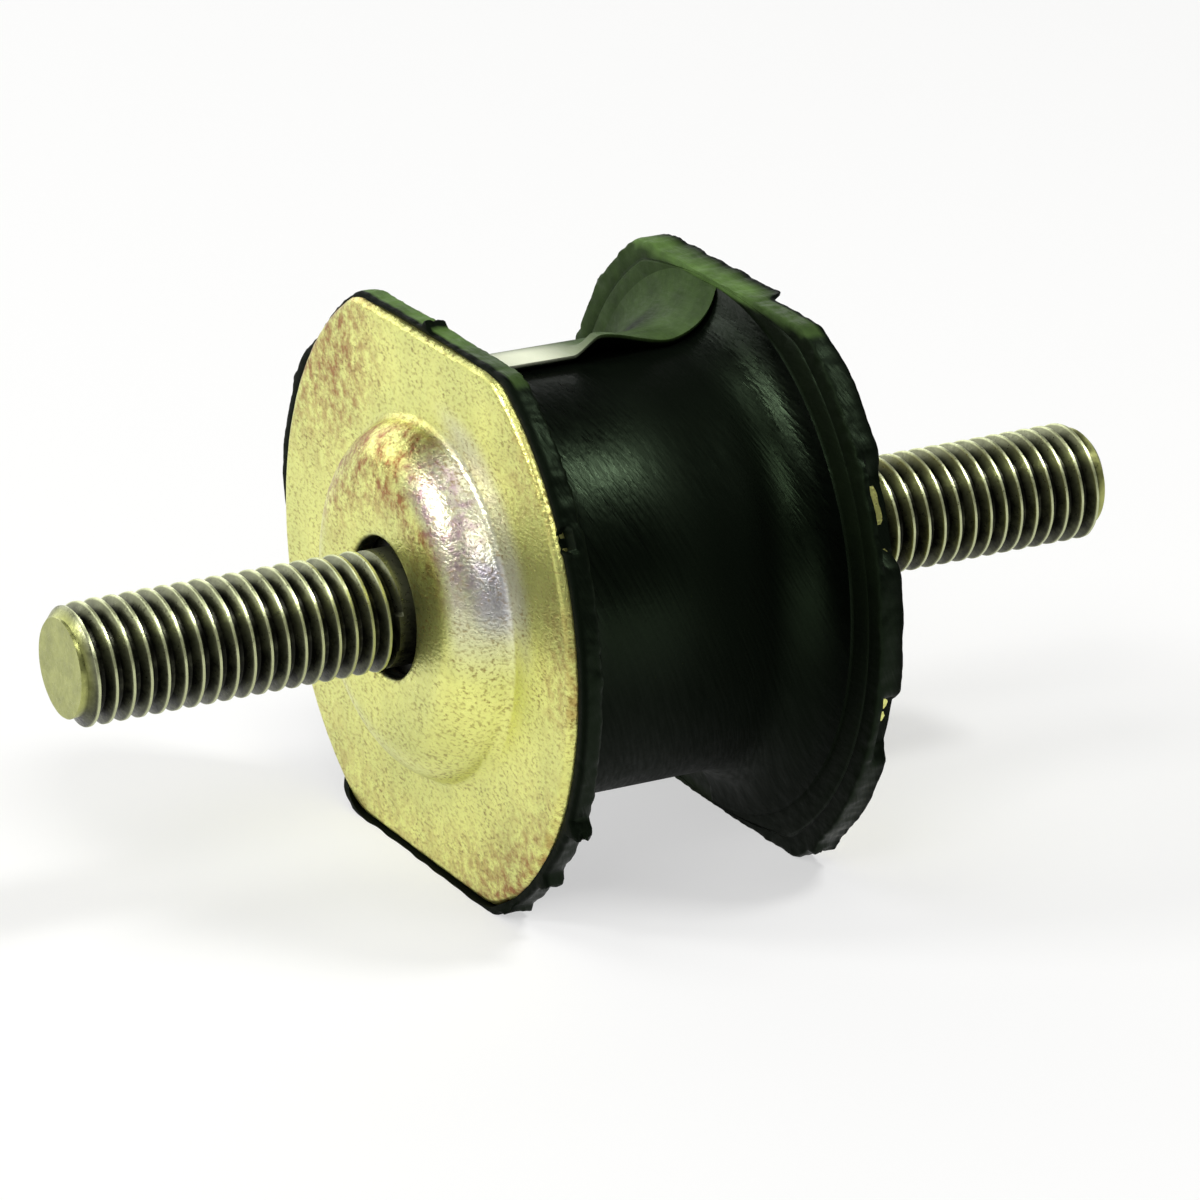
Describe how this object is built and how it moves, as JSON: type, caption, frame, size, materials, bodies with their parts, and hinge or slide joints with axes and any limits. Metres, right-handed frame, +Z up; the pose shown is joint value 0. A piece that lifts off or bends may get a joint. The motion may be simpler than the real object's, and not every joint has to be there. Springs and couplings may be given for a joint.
{
  "type": "transmission mount",
  "caption": "Waisted rubber mount bonded between two pressed steel plates with flats, each with a raised boss and a threaded stud, for holding a gearbox against vibration.",
  "frame": {"origin": "middle of the mount, on the stud axis, half way between the two plates", "axes": "+X along the studs towards the rear stud, -X towards the front stud; +Z up, square to the plates' flats, on which the mount lies; +Y across"},
  "size_m": [0.0947, 0.0534, 0.046],
  "materials": {
    "rubber": "matte",
    "plate_steel": "yellow passivated zinc, satin",
    "stud_steel": "dark olive passivated zinc, satin"
  },
  "bodies": {
    "root": {"rubber_body": "rubber", "front_plate": "plate_steel", "rear_plate": "plate_steel", "front_stud": "stud_steel", "rear_stud": "stud_steel"}
  },
  "joints": []
}
